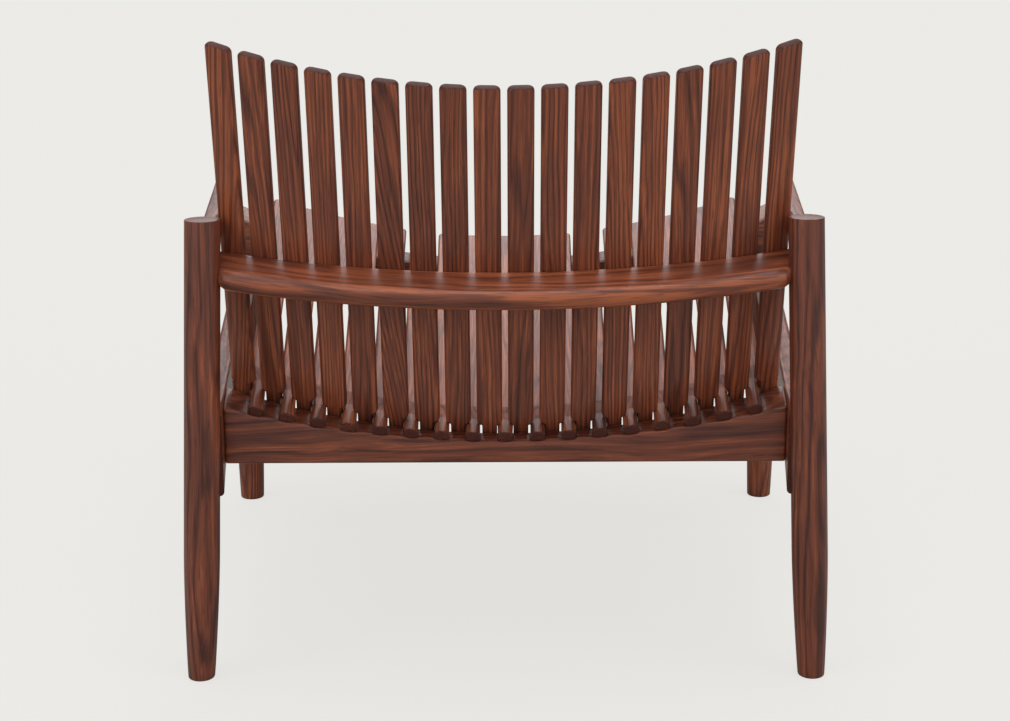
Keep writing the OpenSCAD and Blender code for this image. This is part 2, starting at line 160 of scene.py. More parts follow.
class ChairFrameSizes(bpy.types.PropertyGroup):
    """Sizes of the legs, arms and side rails"""

    leg_h: length("Leg height", 530, "Height of the rear legs and of the arms' top faces")
    leg_d: length("Leg top", 39, "Diameter of a leg at its top")
    leg_belly_d: length("Leg belly", 40.5, "Diameter of a leg where it is widest")
    leg_belly_z: length("Belly height", 150, "Height above the floor where a leg is widest")
    foot_d: length("Rear foot", 30.5, "Diameter of a rear leg at the floor")
    front_foot_d: length("Front foot", 34, "Diameter of a front leg at the floor")
    foot_round: length("Foot rounding", 2.5, "Radius of the rounded edge under a foot")
    leg_ease: length("Leg easing", 0.6, "Radius of the edge round a leg's top")
    rear_leg_x: length("Rear leg offset", 325, "Half the distance between the rear legs at the top")
    rear_splay: angle("Rear splay", 2.6, "Outward lean of the rear legs towards the floor")
    front_leg_x: length("Front leg offset", 379, "Half the distance between the front legs")
    leg_span: length("Leg span", 658, "Distance from the rear legs' centres to the front legs'")
    arm_rear_w: length("Arm rear width", 12.5, "Width of an arm at the rear leg")
    arm_mid_w: length("Arm middle width", 25, "Width of an arm halfway along")
    arm_front_w: length("Arm front width", 20, "Width of an arm at its front end")
    arm_t: length("Arm depth", 26, "Depth of an arm, top to bottom")
    arm_reach: length("Arm reach", 468, "Distance that an arm reaches forward of the rear legs")
    arm_nose_r: length("Arm nose radius", 8, "Radius of the corners at an arm's front end")
    arm_edge_r: length("Arm edge radius", 3.5, "Radius of an arm's long edges")
    arm_flare: ratio("Arm flare", 0.105, "Outward slope of an arm towards the front")
    post_d: length("Post diameter", 19, "Diameter of an arm post at its middle")
    post_end_d: length("Post end diameter", 17, "Diameter of an arm post at its ends")
    post_back: length("Post setback", 36, "Distance of a post's centre behind the arm's front end")
    side_rail_w: length("Side rail thickness", 22, "Thickness of a side rail")
    side_rail_h: length("Side rail depth", 54, "Depth of a side rail, top to bottom")
    side_haunch_h: length("Haunch depth", 96, "Depth of a side rail at the rear leg")
    side_haunch_l: length("Haunch length", 170, "Length of the haunch")
    side_rail_z: length("Side rail height", 313, "Height of a side rail's top at the rear legs")
    side_rail_r: length("Side rail edge", 5, "Radius of a side rail's long edges")
    side_rise: ratio("Side rail rise", 0.078, "Rise of a side rail towards the front")
    side_inset: length("Side rail inset", 24, "How far inside the rear foot's centre it runs")
    side_flare: ratio("Side rail flare", 0.078, "Outward slope of a side rail towards the front")


class ChairRailSizes(bpy.types.PropertyGroup):
    """Sizes of the rear, front and back rails"""

    rear_rail_y: length("Rear rail setback", 28, "Distance from the legs' centres to its back face")
    rear_rail_z: length("Rear rail height", 246, "Height of the rear rail's underside")
    seat_rear_z: length("Seat rear height", 271, "Height of the rear rail's top at the middle")
    seat_rear_r: length("Seat rear radius", 1300, "Radius of the rear rail's hollow top")
    seat_front_z: length("Seat front height", 354, "Height of the front rail's top at the middle")
    seat_front_r: length("Seat front radius", 1040, "Radius of the front rail's hollow top")
    front_rail_h: length("Front rail depth", 38, "Depth of the front rail, top to bottom")
    front_rail_under_r: length("Front rail under radius", 1440, "Radius of its underside")
    front_rail_w: length("Front rail width", 40, "Front to back width at the middle")
    front_rail_bow_r: length("Front rail bow radius", 3200, "Radius of its front face")
    front_rail_over: length("Front rail overhang", 19, "Length past the front legs' centres")
    front_rail_r: length("Front rail edge", 5, "Radius of the front rail's edges")
    rear_rail_wave: length("Rear rail waves", 1.4, "Rise of its top between two fingers")
    rear_rail_r: length("Rear rail edge", 3, "Radius of the rear rail's edges")
    back_recline: angle("Back recline", 18, "Recline of the back from upright")
    back_r: length("Back radius", 1000, "Radius of the hollow back")
    back_y: length("Back setback", 13.5, "Distance of its rear surface behind the legs' centres")
    back_rail_z: length("Back rail height", 474, "Height of the back rail's top at the middle")
    back_rail_w: length("Back rail width", 50, "Front to back width of the back rail")
    back_rail_t: length("Back rail thickness", 24, "Thickness of the back rail")
    back_rail_r: length("Back rail edge", 2.5, "Radius of the back rail's front edges")
    back_rail_end_r: length("Back rail end", 8, "Radius of its rear corners beside the legs")


class ChairSlatSizes(bpy.types.PropertyGroup):
    """Sizes of the back slats and the seat slats"""

    back_slat_w: length("Back slat width", 28.6, "Width of a back slat at its shoulders")
    back_slat_top_w: length("Back slat top", 28, "Width of a back slat at its top")
    back_slat_t: length("Back slat thickness", 12, "Thickness of a back slat")
    slat_pitch: length("Back slat pitch", 35.25, "Distance between the middles of two back slats")
    back_slat_up: length("Back slat above", 210, "Length of a back slat above the back rail's top")
    back_slat_down: length("Back slat below", 238, "Length of a back slat below that")
    neck_down: length("Neck depth", 199.5, "Distance from the back rail's top to a slat's neck")
    neck_w: length("Neck width", 16.8, "Width of a slat's neck")
    shoulder_r: length("Shoulder radius", 4, "Radius of a slat's shoulders")
    slat_round: length("Slat rounding", 4.5, "Radius of a back slat's long edges and top corners")
    slat_ease: length("Slat easing", 1.5, "Radius of the edges across a slat's ends")
    top_line_r: length("Top line radius", 1600, "Radius of the line that the slats' tops follow")
    top_lift: length("Top lift", 1.3, "Rise of the whole top line")
    neck_line_r: length("Neck line radius", 1550, "Radius of the line that the slats' necks follow")
    end_neck_out: length("End neck notch", 1.5, "Depth of the outer notch of the two end slats")
    back_fan: ratio("Back fan", 3, "Spread of the back slats, in degrees per metre off the middle")
    seat_slat_front_w: length("Seat slat front", 33.5, "Width of a seat slat at its front end")
    seat_slat_rear_w: length("Seat slat rear", 27, "Width of a seat slat just ahead of the back")
    seat_slat_t: length("Seat slat thickness", 16, "Thickness of a seat slat")
    seat_front_pitch: length("Seat front pitch", 40.4, "Distance between two seat slats' middles")
    seat_tip: length("Seat tip", 745, "Distance from the rear legs' centres to the front ends")
    tip_round: length("Tip radius", 8, "Radius of a seat slat's front corners")
    finger_w: length("Finger width", 16.5, "Width of a seat slat's finger at its end")
    finger_neck_w: length("Finger neck", 15.9, "Width of a finger between the back slats' necks")
    finger_draw: length("Finger draw", 0.6, "How much closer the fingers lie than the necks' gaps")
    finger_t: length("Finger thickness", 11, "Thickness of a seat slat's finger")
    finger_r: length("Finger edge", 4, "Radius of a finger's long edges")
    finger_side: length("Finger offset", 1.6, "Sideways set of a finger away from the middle")
    finger_give: length("Finger give", 0.55, "Narrowing from one outermost finger to the next")
    finger_ease: length("Finger easing", 2, "Radius of the edge round a finger's end")
    seat_slat_r: length("Seat slat edge", 3.5, "Radius of a seat slat's long edges")
    finger_blend: length("Finger blend", 26, "Length over which a seat slat narrows to its finger")
    finger_set: length("Finger setback", 0, "Distance from the rear rail's back face to a finger")
    shoulder_gap: length("Shoulder gap", 3, "Room between a back slat and a seat slat's shoulder")
    housing: length("Housing", 1.5, "Depth that the seat slats are let into the front rail")


class ChairWood(bpy.types.PropertyGroup):
    """Colours and grain of the oiled walnut, and the colours of the beech"""

    light: colour("Light wood", "#a45a38", "Pale early wood, as sRGB hex")
    middle: colour("Middle wood", "#7a412d", "Body of the heartwood, as sRGB hex")
    dark: colour("Dark wood", "#45231c", "Dark late wood, as sRGB hex")
    pore: colour("Pores", "#2c1711", "Open pores, as sRGB hex")
    beech_dark: colour("Dark beech", "#b08a60", "Flecks of the beech dowels, as sRGB hex")
    beech_light: colour("Light beech", "#cfae84", "Body of the beech dowels, as sRGB hex")
    ring_gap: length("Ring gap", 3.6, "Distance between two growth rings")
    ring_drift: length("Ring drift", 14, "How far a growth ring wanders out of round")
    fibre_gap: length("Fibre gap", 1, "Width of a fibre streak")
    pore_length: length("Pore length", 25, "Length of a pore along the grain")
    relief: length("Relief", 0.2, "Depth of the fibres and pores in the surface")
    board_share: ratio("Boards", 0.09, "How much one board is darker than another")
    ring_share: ratio("Rings", 0.3, "How much the growth rings darken the wood")
    band_share: ratio("Bands", 0.28, "How much the broad bands darken the wood")
    fibre_share: ratio("Fibres", 0.3, "How much the fibre streaks darken the wood")
    cloud_share: ratio("Clouds", 0.2, "How much the slow clouds darken the wood")
    end_share: ratio("End grain", 0.5, "How much darker the wood is across its ends")
    seed: bpy.props.IntProperty(name="Seed", description="Start of the random boards", default=7)


class ChairStudio(bpy.types.PropertyGroup):
    """Floor, lamps and camera"""

    paper: colour("Paper", "#ecebe7", "Colour of the floor and of the background, as sRGB hex")
    bounce: colour("Bounce", "#aeadaa", "Colour of the light off the floor, as sRGB hex")
    shadow: ratio("Shadow", 0.135, "How much of the object's shadow the floor shows")
    glow: ratio("Glow", 0.972, "Strength of the paper's own even white in the camera's view")
    world: ratio("World", 0.15, "Strength of the even light from all sides")
    gloss: ratio("Gloss", 0.36, "Strength of the studio walls that the wood's sheen mirrors")
    sheen: colour("Sheen", "#e0e5ee", "Colour of those walls, as sRGB hex")
    front: ratio("Front lamp", 0.43, "Strength of the soft lamp ahead of the chair")
    top: ratio("Top lamp", 1.95, "Strength of the wide soft lamp over the chair")
    side: ratio("Side lamps", 0.45, "Strength of each of the two soft lamps at the rear's sides")
    rear: ratio("Rear lamp", 1.7, "Strength of the wide soft lamp behind the camera")
    camera_y: length("Camera distance", 1927, "Distance of the camera behind the rear legs")
    camera_z: length("Camera height", 852.5, "Height of the camera")
    camera_pitch: angle("Camera pitch", 14, "Downward tilt of the camera")
    camera_roll: angle("Camera roll", 0.25, "Roll of the camera")
    camera_lens: length("Camera lens", 64.55, "Focal length on a sensor 36 mm wide")


def linear(value):
    """Linear red, green, blue and alpha of an sRGB hex colour."""
    parts = [int(value[i:i + 2], 16) / 255 for i in (1, 3, 5)]
    return [c / 12.92 if c <= 0.04045 else ((c + 0.055) / 1.055) ** 2.4 for c in parts] + [1]


def hollow(radius, x):
    """Height gained by a hollow curve at a distance x from its middle."""
    return radius - math.sqrt(radius * radius - x * x)


def turn(radians, axis):
    """Rotation about an axis."""
    return Matrix.Rotation(radians, 4, axis)


def foot_x():
    """Half the distance between the rear feet."""
    f = bpy.context.scene.chair_frame
    return f.rear_leg_x + f.leg_h * math.tan(f.rear_splay)


def side_x():
    """Half the distance between the side rails at the rear legs."""
    return foot_x() - bpy.context.scene.chair_frame.side_inset


def back_x(k):
    """Place of back slat k along the hollow of the back."""
    return (BACK_MIDDLE - k) * bpy.context.scene.chair_slats.slat_pitch


def seat_rear_x(k):
    """Place of seat slat k along the rear rail."""
    s = bpy.context.scene.chair_slats
    spread = 1 + s.neck_down * math.radians(s.back_fan)
    return (SEAT_MIDDLE - k) * (s.slat_pitch * spread - s.finger_draw)


def seat_front_x(k):
    """Place of seat slat k along the front rail."""
    return (SEAT_MIDDLE - k) * bpy.context.scene.chair_slats.seat_front_pitch


def seat_rear_z(k):
    """Height of the rear rail's top under seat slat k."""
    r = bpy.context.scene.chair_rails
    return r.seat_rear_z + hollow(r.seat_rear_r, seat_rear_x(k))


def seat_reach():
    """Distance from the rear rail's back face to the front legs' centres."""
    scene = bpy.context.scene
    return scene.chair_frame.leg_span - scene.chair_rails.rear_rail_y


def seat_yaw(k):
    """How far seat slat k turns outwards towards the front."""
    return math.atan2(seat_front_x(k) - seat_rear_x(k), seat_reach())


def seat_pitch(k):
    """How far seat slat k rises towards the front."""
    scene = bpy.context.scene
    r = scene.chair_rails
    front = r.seat_front_z + hollow(r.seat_front_r, seat_front_x(k)) - scene.chair_slats.housing
    run = math.hypot(seat_front_x(k) - seat_rear_x(k), seat_reach())
    return math.atan2(front - seat_rear_z(k), run)


def along_seat(k, reach):
    """Length along seat slat k of a distance forward."""
    return reach / math.cos(seat_yaw(k)) / math.cos(seat_pitch(k))


def back_surface_y(x, z, inset=0):
    """Place of the back's rear surface at x and height z, or of a surface inset from it."""
    r = bpy.context.scene.chair_rails
    lift = -hollow(r.back_r, x) - inset
    up = (z - r.back_rail_z + lift * math.sin(r.back_recline)) / math.cos(r.back_recline)
    return r.back_y + lift * math.cos(r.back_recline) + up * math.sin(r.back_recline)


def seat_neck(k):
    """Distance of seat slat k's shoulder forward of the rear rail's back face, along the slat."""
    scene = bpy.context.scene
    r, s = scene.chair_rails, scene.chair_slats
    x = abs(seat_rear_x(k)) + s.seat_slat_rear_w / 2
    thick = s.back_slat_t / math.cos(math.asin(x / r.back_r))
    front = -back_surface_y(x, seat_rear_z(k) + s.finger_t, thick)
    return along_seat(k, front - r.rear_rail_y + s.shoulder_gap)


def seat_surface_z(radius, setback, low, x, y):
    """Height of a hollow seat line's surface at x and y."""
    r = bpy.context.scene.chair_rails
    slope = math.atan((r.seat_front_z - r.seat_rear_z) / seat_reach())
    rise = hollow(radius, x)
    run = (y + setback - rise * math.sin(slope)) / math.cos(slope)
    return low - run * math.sin(slope) + rise * math.cos(slope)


def chair_place():
    """From the rear legs' centres to the middle of the chair's box."""
    scene = bpy.context.scene
    s, r = scene.chair_slats, scene.chair_rails
    tip = s.seat_tip + (s.seat_slat_front_w / 2 - s.tip_round) * math.sin(seat_yaw(1))
    back_tip = r.back_y + s.back_slat_up * math.sin(r.back_recline)
    return Matrix.Translation((0, (tip - back_tip) / 2, 0))


def back_place():
    """The back's own frame: y out of its rear surface, z up along the slats."""
    r = bpy.context.scene.chair_rails
    return (chair_place() @ Matrix.Translation((0, r.back_y, r.back_rail_z))
            @ turn(-r.back_recline, "X"))


def back_slat_place(k):
    """Back slat k's own frame: x across it, y out of its rear face, z up along it."""
    scene = bpy.context.scene
    r, s = scene.chair_rails, scene.chair_slats
    seat = r.back_r - hollow(r.back_r, s.back_slat_w / 2)
    return (back_place() @ Matrix.Translation((0, -r.back_r, 0))
            @ turn(-math.asin(back_x(k) / r.back_r), "Z") @ Matrix.Translation((0, seat, 0))
            @ turn(-math.radians(s.back_fan) * back_x(k), "Y"))


def seat_slat_place(k):
    """Seat slat k's own frame: x across it, y out of its top, z forward along it."""
    r = bpy.context.scene.chair_rails
    bank = (math.asin(seat_rear_x(k) / r.seat_rear_r)
            + math.asin(seat_front_x(k) / r.seat_front_r)) / 2
    start = Vector((seat_rear_x(k), -r.rear_rail_y, seat_rear_z(k)))
    return (chair_place() @ Matrix.Translation(start) @ turn(seat_yaw(k), "Z")
            @ turn(-seat_pitch(k), "X") @ turn(-bank, "Y") @ turn(math.pi / 2, "X"))


def draw_end(bm, end):
    """Extrudes an end face; its edges are given too, so that no face stays inside the piece."""
    made = bmesh.ops.extrude_face_region(bm, geom=[end] + list(end.edges))["geom"]
    return next(g for g in made if isinstance(g, bmesh.types.BMFace))


def round_off(bm, geom, radius, affect, segments=ROUND_SEGMENTS):
    """Rounds corners or edges."""
    bmesh.ops.bevel(bm, geom=geom, offset=radius, segments=segments, profile=0.5,
                    affect=affect, material=-1)


def round_sharp_edges(bm, radius):
    """Rounds every sharp edge of a piece."""
    sharp = [e for e in bm.edges if e.calc_face_angle(0) > SHARP_ANGLE]
    round_off(bm, sharp, radius, "EDGES")


def draw_section(width, depth):
    """Draws a flat rectangle, and gives it with its corners."""
    bm = bmesh.new()
    corners = bmesh.ops.create_grid(bm, x_segments=1, y_segments=1, size=0.5)["verts"]
    bmesh.ops.scale(bm, vec=(width, depth, 1), verts=corners)
    return bm, corners


def draw_bar(stations):
    """Draws a rounded bar out along z.

    Each station is a centre, a width, a depth and a corner radius."""
    width, depth, radius = stations[0][1:]
    bm, corners = draw_section(width, depth)
    round_off(bm, corners, radius, "VERTICES")
    corner = bm.verts.layers.float_vector.new("corner")
    for v in bm.verts:
        side, face = math.copysign(1, v.co.x), math.copysign(1, v.co.y)
        v[corner] = (side, face, math.atan2(v.co.y - face * (depth / 2 - radius),
                                            v.co.x - side * (width / 2 - radius)))
    end = bm.faces[:][0]
    for i, (centre, width, depth, radius) in enumerate(stations):
        if i:
            end = draw_end(bm, end)
        for v in end.verts:
            side, face, turned = v[corner]
            v.co = centre + Vector((side * (width / 2 - radius) + radius * math.cos(turned),
                                    face * (depth / 2 - radius) + radius * math.sin(turned), 0))
    bm.verts.layers.float_vector.remove(corner)
    return bm


def draw_round(stations, segments):
    """Draws a disc out along z; each station is a centre and a radius."""
    here, radius = stations[0]
    bm = bmesh.new()
    bmesh.ops.create_circle(bm, cap_ends=True, radius=radius, segments=segments)
    face = bm.faces[:][0]
    bmesh.ops.translate(bm, vec=here, verts=face.verts)
    for centre, next_radius in stations[1:]:
        face = draw_end(bm, face)
        grow = next_radius / radius
        bmesh.ops.scale(bm, vec=(grow, grow, 1), space=Matrix.Translation(-here), verts=face.verts)
        bmesh.ops.translate(bm, vec=centre - here, verts=face.verts)
        here, radius = centre, next_radius
    return bm


def quarter(steps=EASE_STEPS):
    """Sine and cosine pairs of a quarter turn."""
    return [(math.sin(math.pi / 2 * i / steps), math.cos(math.pi / 2 * i / steps))
            for i in range(steps + 1)]


def eased(radius, left):
    """How far a rounded end has drawn in, at a distance left before its tip."""
    reach = max(0, 1 - left / radius)
    return radius * (1 - math.sqrt(max(0, 1 - reach * reach)))


def make_object(name, bm, material):
    """Makes a bmesh an object of one material in the scene."""
    mesh = bpy.data.meshes.new(name)
    bm.to_mesh(mesh)
    bm.free()
    mesh.materials.append(material)
    made = bpy.data.objects.new(name, mesh)
    bpy.context.scene.collection.objects.link(made)
    return made


def keep_piece(bm, kind, place, label="", number=0, grain=None):
    """Ends a piece: grain coordinates, place, normals, material, body and node."""
    seed, slot, coarse, tone_and_shade = KINDS[kind]
    node = kind + label
    draw = random.Random((seed + number) * SEED_STEP + bpy.context.scene.chair_wood.seed)
    pith = Vector((draw.uniform(-PITH_SIDE, PITH_SIDE),
                   draw.choice((-1, 1)) * draw.uniform(*PITH_DEPTH),
                   draw.uniform(-LOG_HALF, LOG_HALF)))
    wild = WILD_FACTOR if draw.random() < WILD_ODDS else 1
    cut = (Matrix.Translation(pith) @ turn(math.radians(draw.gauss(0, SAW_LEAN * wild)), "Y")
           @ turn(math.radians(draw.gauss(0, SAW_PITCH * wild)), "X"))
    widen = Matrix.Diagonal((1 / coarse, 1 / coarse, 1, 1))
    # A kind's fixed darkness holds for the whole piece; the rear legs' is painted shade
    tone_and_shade = draw.uniform(-1, 1) if tone_and_shade is None else tone_and_shade
    grain_layer = bm.verts.layers.float_vector.new("grain")
    tone_and_shade_layer = bm.verts.layers.float.new("tone_and_shade")
    end_layer = bm.faces.layers.float.new("end_grain")
    bm.normal_update()
    for face in bm.faces:
        face[end_layer] = abs(face.normal.z) if grain is None else 0
    for v in bm.verts:
        v[grain_layer] = widen @ cut @ (grain(v.co) if grain else v.co)
        v[tone_and_shade_layer] = tone_and_shade
    bmesh.ops.transform(bm, matrix=place, verts=bm.verts)
    bmesh.ops.recalc_face_normals(bm, faces=bm.faces)
    piece = make_object(f"walnut_{node}", bm, oiled_walnut("oiled_walnut"))
    piece.data.shade_smooth()
    piece.data.set_sharp_from_angle(angle=SMOOTH_ANGLE)
    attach(piece, BODY)
    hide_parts(node)


def keep_pairs(*pieces):
    """Draws and ends pieces for both sides; the right ones mirror the left ones.

    Each piece is the function that draws it, its kind, its place and its grain."""
    for number, (side, sign) in enumerate(SIDES):
        flip = Matrix.Diagonal((sign, 1, 1, 1))
        for draw, kind, place, grain in pieces:
            keep_piece(draw(), kind, chair_place() @ flip @ place, f"_{side}", number, grain)


def add_node(tree, kind, inputs=None, **settings):
    """Adds a node, sets its settings, and sets or links its inputs."""
    node = tree.nodes.new(kind)
    for key, value in settings.items():
        setattr(node, key, value)
    for key, value in (inputs or {}).items():
        if isinstance(value, bpy.types.NodeSocket):
            tree.links.new(value, node.inputs[key])
        else:
            node.inputs[key].default_value = value
    return node


def new_material(name):
    """Finds a material, or makes it and gives its empty node tree too."""
    material = bpy.data.materials.get(name)
    if material:
        return material, None
    material = bpy.data.materials.new(name)
    material.use_nodes = True
    material.node_tree.nodes.clear()
    return material, material.node_tree


def oiled_walnut(name):
    """Black walnut, planed, sanded and oiled: brown heartwood with dark growth rings, long fibre
    streaks and open pores, under a thin satin film that turns grey-white at a grazing look."""
    material, tree = new_material(name)
    if tree is None:
        return material
    wood = bpy.context.scene.chair_wood
    grain = add_node(tree, "ShaderNodeAttribute", attribute_name="grain").outputs["Vector"]
    tone_and_shade = add_node(tree, "ShaderNodeAttribute", attribute_name="tone_and_shade").outputs["Fac"]
    end_grain = add_node(tree, "ShaderNodeAttribute", attribute_name="end_grain").outputs["Fac"]

    # Growth rings round the pith, drawn out of round by a slow drift along the board
    across, along = DRIFT_SIZE
    drift = add_node(tree, "ShaderNodeMapping", {
        "Vector": grain, "Scale": (1 / across, 1 / across, 1 / along)})
    drift = add_node(tree, "ShaderNodeTexNoise", {
        "Vector": drift.outputs["Vector"], "Scale": 1, "Detail": 2})
    drift = add_node(tree, "ShaderNodeVectorMath", {
        0: drift.outputs["Color"], 1: (0.5, 0.5, 0.5)}, operation="SUBTRACT")
    drift = add_node(tree, "ShaderNodeVectorMath", {
        0: drift.outputs[0], 1: (wood.ring_drift, wood.ring_drift, 0)}, operation="MULTIPLY")
    bent = add_node(tree, "ShaderNodeVectorMath", {
        0: grain, 1: drift.outputs[0]}, operation="ADD").outputs[0]
    # The wave texture repeats every pi / 10 of its scaled radius
    rings = add_node(tree, "ShaderNodeTexWave", {
        "Vector": bent, "Scale": math.pi / 10 / wood.ring_gap, "Distortion": 0},
        wave_type="RINGS", rings_direction="Z", wave_profile="SIN")
    # A power above 1 makes the dark late wood the narrower part of a ring
    late_wood = add_node(tree, "ShaderNodeMath", {
        0: rings.outputs["Fac"], 1: 2.5}, operation="POWER").outputs[0]

    # Pores are a tenth of a millimetre across in the real wood, drawn coarser so that they show
    streaks = {}
    for key, source, across, along, detail in (
            ("bands", bent, wood.fibre_gap * BAND_FIBRES, BAND_LENGTH, 2),
            ("fibres", bent, wood.fibre_gap, wood.fibre_gap * FIBRE_STRETCH, 3),
            ("clouds", grain, *CLOUD_SIZE, 2),
            ("pores", bent, PORE_WIDTH, wood.pore_length, 1)):
        drawn = add_node(tree, "ShaderNodeMapping", {
            "Vector": source, "Scale": (1 / across, 1 / across, 1 / along)})
        streaks[key] = add_node(tree, "ShaderNodeTexNoise", {
            "Vector": drawn.outputs["Vector"], "Scale": 1, "Detail": detail}).outputs["Fac"]
    # A noise lies mostly between 0.3 and 0.7; pores are only its highest part, and never quite dark
    ranged = {}
    for key, source, low, high, to_low, to_high in (
            ("bands", "bands", 0.3, 0.7, 0, 1), ("fibres", "fibres", 0.3, 0.7, 0, 1),
            ("clouds", "clouds", 0.3, 0.7, 0, 1), ("pores", "pores", 0.6, 0.75, 0, 0.45),
            ("roughness", "fibres", 0.3, 0.7, 0.3, 0.4)):
        ranged[key] = add_node(tree, "ShaderNodeMapRange", {
            "Value": streaks[source], "From Min": low, "From Max": high, "To Min": to_low,
            "To Max": to_high}).outputs["Result"]

    # What darkens the wood, and how much; the board tone also carries the rear legs' painted shade
    shade = 0
    for value, share in (
            (tone_and_shade, wood.board_share), (late_wood, wood.ring_share),
            (ranged["bands"], wood.band_share), (ranged["fibres"], wood.fibre_share),
            (ranged["clouds"], wood.cloud_share), (end_grain, wood.end_share)):
        shade = add_node(tree, "ShaderNodeMath", {
            0: value, 1: share, 2: shade}, operation="MULTIPLY_ADD").outputs[0]
    # From pale early wood over the heartwood's body to dark late wood
    ramp = add_node(tree, "ShaderNodeValToRGB", {"Fac": shade})
    stops = ramp.color_ramp.elements
    stops[0].position, stops[0].color = 0.2, linear(wood.light)
    stops[1].position, stops[1].color = 0.88, linear(wood.dark)
    stops.new(0.45).color = linear(wood.middle)
    body = add_node(tree, "ShaderNodeMix", {
        "Factor": ranged["pores"], "A": ramp.outputs["Color"], "B": linear(wood.pore)},
        data_type="RGBA")
    # End grain drinks the oil and stays duller, and pores are sunk into the fibres' relief
    roughness = add_node(tree, "ShaderNodeMath", {
        0: end_grain, 1: 0.1, 2: ranged["roughness"]}, operation="MULTIPLY_ADD")
    specular = add_node(tree, "ShaderNodeMath", {
        0: end_grain, 1: -0.3, 2: 0.45}, operation="MULTIPLY_ADD")
    height = add_node(tree, "ShaderNodeMath", {
        0: ranged["pores"], 1: -0.8, 2: streaks["fibres"]}, operation="MULTIPLY_ADD")
    bump = add_node(tree, "ShaderNodeBump", {
        "Strength": 0.2, "Distance": wood.relief, "Height": height.outputs[0]})
    # 1.45 is the IOR of a dried oil film
    shader = add_node(tree, "ShaderNodeBsdfPrincipled", {
        "Base Color": body.outputs["Result"], "Roughness": roughness.outputs[0], "IOR": 1.45,
        "Normal": bump.outputs["Normal"], "Specular IOR Level": specular.outputs[0]})
    add_node(tree, "ShaderNodeOutputMaterial", {"Surface": shader.outputs[0]})
    return material


def turned_beech(name):
    """Beech dowel rod, turned and left bare: pale pinkish tan with short dark flecks, matt."""
    material, tree = new_material(name)
    if tree is None:
        return material
    wood = bpy.context.scene.chair_wood
    place = add_node(tree, "ShaderNodeTexCoord").outputs["Object"]
    # A fleck is 0.8 mm wide and 3 mm long
    flecks = add_node(tree, "ShaderNodeMapping", {
        "Vector": place, "Scale": (1 / 0.0008, 1 / 0.003, 1 / 0.0008)})
    flecks = add_node(tree, "ShaderNodeTexNoise", {
        "Vector": flecks.outputs["Vector"], "Scale": 1, "Detail": 2})
    ramp = add_node(tree, "ShaderNodeValToRGB", {"Fac": flecks.outputs["Fac"]})
    stops = ramp.color_ramp.elements
    stops[0].position, stops[0].color = 0.35, linear(wood.beech_dark)
    stops[1].position, stops[1].color = 0.6, linear(wood.beech_light)
    shader = add_node(tree, "ShaderNodeBsdfPrincipled", {
        "Base Color": ramp.outputs["Color"], "Roughness": 0.6, "IOR": 1.5})
    add_node(tree, "ShaderNodeOutputMaterial", {"Surface": shader.outputs[0]})
    return material


def leg_radius(z, foot):
    """Radius of a leg at height z, from its diameter at the floor."""
    f = bpy.context.scene.chair_frame
    if z < f.leg_belly_z:
        below = (1 - z / f.leg_belly_z) ** BELLY_POWER
        return f.leg_belly_d / 2 - (f.leg_belly_d - foot) / 2 * below
    above = (z - f.leg_belly_z) / (f.leg_h - f.leg_belly_z)
    return f.leg_belly_d / 2 - (f.leg_belly_d - f.leg_d) / 2 * above


def turned_leg(top, foot, lean=0):
    """A turned leg, drawn up through its foot, belly and top; lean is its shift per metre."""
    f = bpy.context.scene.chair_frame
    flat = leg_radius(0, foot) - f.foot_round
    rows = [(f.foot_round * (1 - c), flat + f.foot_round * s) for s, c in quarter()]
    for i in range(1, LEG_ROWS + 1):
        z = f.leg_belly_z * i / LEG_ROWS
        rows.append((z, leg_radius(z, foot)))
    end = leg_radius(top, foot) - f.leg_ease
    rows += [(top - f.leg_ease * (1 - s), end + f.leg_ease * c) for s, c in quarter()]
    return draw_round([(Vector((-z * lean, 0, z)), r) for z, r in rows], LEG_SEGMENTS)


class CHAIR_OT_legs(bpy.types.Operator):
    """Models the four turned legs"""

    bl_idname = "chair.legs"
    bl_label = "Turn the legs"

    def execute(self, context):
        f, r = context.scene.chair_frame, context.scene.chair_rails
        lean = math.tan(f.rear_splay)
        under = r.seat_front_z - r.front_rail_h + hollow(r.front_rail_under_r, f.front_leg_x)
        top = under + f.leg_d * LET_IN
        keep_pairs((lambda: turned_leg(f.leg_h, f.foot_d, lean), "rear_leg",
                    Matrix.Translation((foot_x(), 0, 0)),
                    lambda co: Vector((co.x + co.z * lean, co.y, co.z))),
                   (lambda: turned_leg(top, f.front_foot_d), "front_leg",
                    Matrix.Translation((f.front_leg_x, -f.leg_span, 0)), None))
        return {"FINISHED"}


def arm_width(t):
    """Width of an arm at a share t of its reach, through its three widths."""
    f = bpy.context.scene.chair_frame
    return (f.arm_rear_w * (1 - t) * (1 - 2 * t) + f.arm_mid_w * 4 * t * (1 - t)
            + f.arm_front_w * t * (2 * t - 1))


def arm_edge(y):
    """Place of an arm's outer edge at a distance y forward."""
    f = bpy.context.scene.chair_frame
    return f.rear_leg_x + f.arm_flare * y


